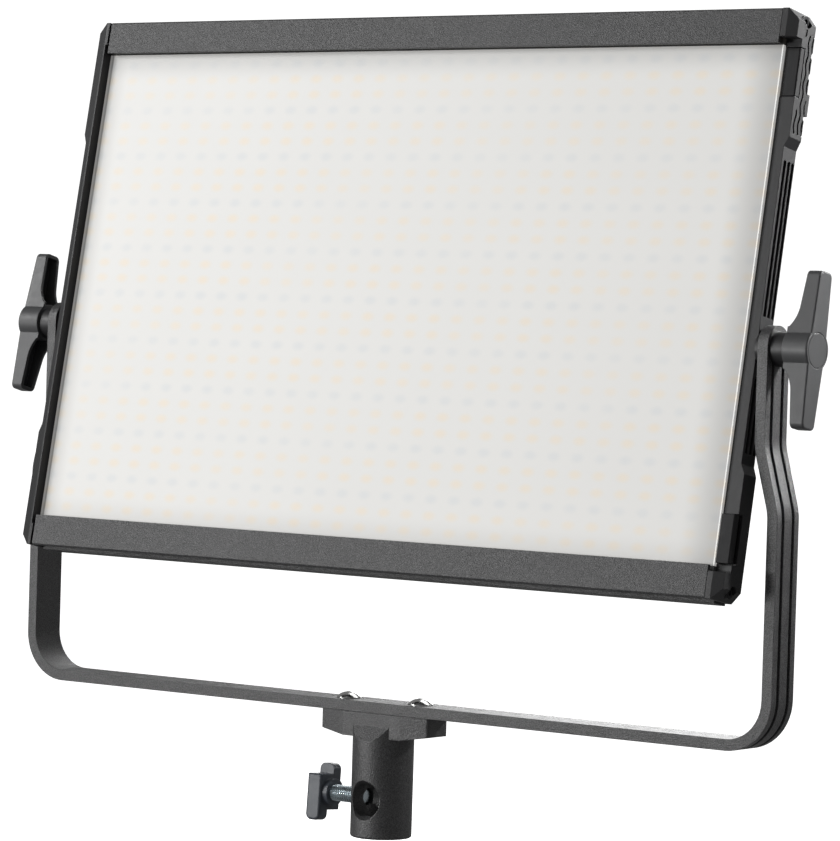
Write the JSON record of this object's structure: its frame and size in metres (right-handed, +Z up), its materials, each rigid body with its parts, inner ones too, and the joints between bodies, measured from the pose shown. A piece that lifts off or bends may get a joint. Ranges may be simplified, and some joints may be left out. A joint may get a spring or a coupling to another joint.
{
  "type": "led panel light",
  "caption": "rectangular LED panel light with an opal diffuser, tilting in a U yoke with a spigot receiver, T-knobs and rear controls",
  "frame": {"origin": "centre of the spigot receiver's mouth, at the bottom of the yoke", "axes": "+Z up through the receiver, +X across the panel, -Y the way the lit face looks when the head is upright"},
  "size_m": [0.4692, 0.0778, 0.3929],
  "materials": {
    "charcoal_powder_coat": "fine sandy powder coat, satin",
    "rail_anodised": "fine sandy texture over an aluminium extrusion, satin",
    "cover_plastic": "fine spark texture, matte",
    "knob_plastic": "moulded glass-filled nylon, satin matte",
    "blue_black_plastic": "moulded, satin, slightly blue",
    "black_plastic": "moulded, matte",
    "opal_acrylic": "opal diffuser, fine matte face",
    "white_plastic": "white reflector stock",
    "board": "white solder mask",
    "green_board": "green solder mask",
    "aluminium_dark": "black anodised",
    "aluminium_raw": "mill finish",
    "bright_steel": "nickel plated",
    "zinc_steel": "clear zinc plated thread",
    "black_steel": "black oxide",
    "display_glass": "dark glossy window",
    "latch_plastic": "fine spark texture, matte"
  },
  "bodies": {
    "yoke": {"yoke_bar": "charcoal_powder_coat", "spigot_receiver": "charcoal_powder_coat", "receiver_screws": "bright_steel", "friction_washers": "black_plastic", "knob_washers": "black_plastic"},
    "head": {"top_rail": "rail_anodised", "bottom_rail": "rail_anodised", "side_cover_left": "cover_plastic", "side_cover_right": "cover_plastic", "pivot_bracket_left": "aluminium_dark", "pivot_bracket_right": "aluminium_dark", "diffuser": "opal_acrylic", "reflector_frame": "white_plastic", "led_board": "board", "back_plate": "aluminium_dark", "heat_sink_left": "aluminium_dark", "heat_sink_right": "aluminium_dark", "back_screws": "black_steel", "cover_screws": "black_steel", "control_box": "cover_plastic", "control_box_screws": "black_steel", "display_window": "display_glass", "display_module": "black_plastic", "control_board": "green_board", "driver_board": "green_board", "power_inlet": "black_plastic", "power_switch": "black_plastic", "brightness_encoder": "aluminium_raw", "colour_encoder": "aluminium_raw"},
    "tilt_knob_r": {"tilt_knob_right": "knob_plastic", "tilt_stud_right": "zinc_steel"},
    "tilt_knob_l": {"tilt_knob_left": "knob_plastic", "tilt_stud_left": "zinc_steel"},
    "socket_clamp": {"socket_knob": "blue_black_plastic", "socket_stud": "zinc_steel"},
    "latch_lower": {"accessory_latch_lower": "latch_plastic"},
    "latch_upper": {"accessory_latch_upper": "latch_plastic"},
    "rocker": {"power_rocker": "black_plastic"},
    "dial_brightness": {"brightness_dial": "knob_plastic"},
    "dial_colour": {"colour_dial": "knob_plastic"},
    "button_mode": {"mode_button": "black_plastic"},
    "button_menu": {"menu_button": "black_plastic"}
  },
  "joints": [
    {"name": "panel_tilt", "type": "hinge", "parent": "yoke", "child": "head", "pos_m": [0, 0, 0.2396], "axis": [1, 0, 0], "range_deg": [-79.3, 100.7]},
    {"name": "tilt_knob_right_turn", "type": "hinge", "parent": "head", "child": "tilt_knob_r", "pos_m": [0.22, 0, 0.2396], "axis": [1, 0, 0], "continuous": true},
    {"name": "tilt_knob_left_turn", "type": "hinge", "parent": "head", "child": "tilt_knob_l", "pos_m": [-0.22, 0, 0.2396], "axis": [1, 0, 0], "continuous": true},
    {"name": "socket_clamp_turn", "type": "hinge", "parent": "yoke", "child": "socket_clamp", "pos_m": [-0.03, 0, 0.0184], "axis": [1, 0, 0], "continuous": true},
    {"name": "latch_lower_slide", "type": "slide", "parent": "head", "child": "latch_lower", "axis": [0, 0.9826, -0.1857], "range_m": [0, 0.0027]},
    {"name": "latch_upper_slide", "type": "slide", "parent": "head", "child": "latch_upper", "axis": [0, -0.9826, 0.1857], "range_m": [0, 0.0027]},
    {"name": "power_rocker_tip", "type": "hinge", "parent": "head", "child": "rocker", "pos_m": [-0.03, 0.01287, 0.20002], "axis": [0, 0.9826, -0.1857], "range_deg": [-8, 8]},
    {"name": "brightness_dial_turn", "type": "hinge", "parent": "head", "child": "dial_brightness", "pos_m": [-0.044, 0.03389, 0.22506], "axis": [0, 0.9826, -0.1857], "continuous": true},
    {"name": "colour_dial_turn", "type": "hinge", "parent": "head", "child": "dial_colour", "pos_m": [0.044, 0.03389, 0.22506], "axis": [0, 0.9826, -0.1857], "continuous": true},
    {"name": "mode_button_press", "type": "slide", "parent": "head", "child": "button_mode", "axis": [0, -0.9826, 0.1857], "range_m": [0, 0.001], "stiffness_N_per_m": 400},
    {"name": "menu_button_press", "type": "slide", "parent": "head", "child": "button_menu", "axis": [0, -0.9826, 0.1857], "range_m": [0, 0.001], "stiffness_N_per_m": 400}
  ]
}
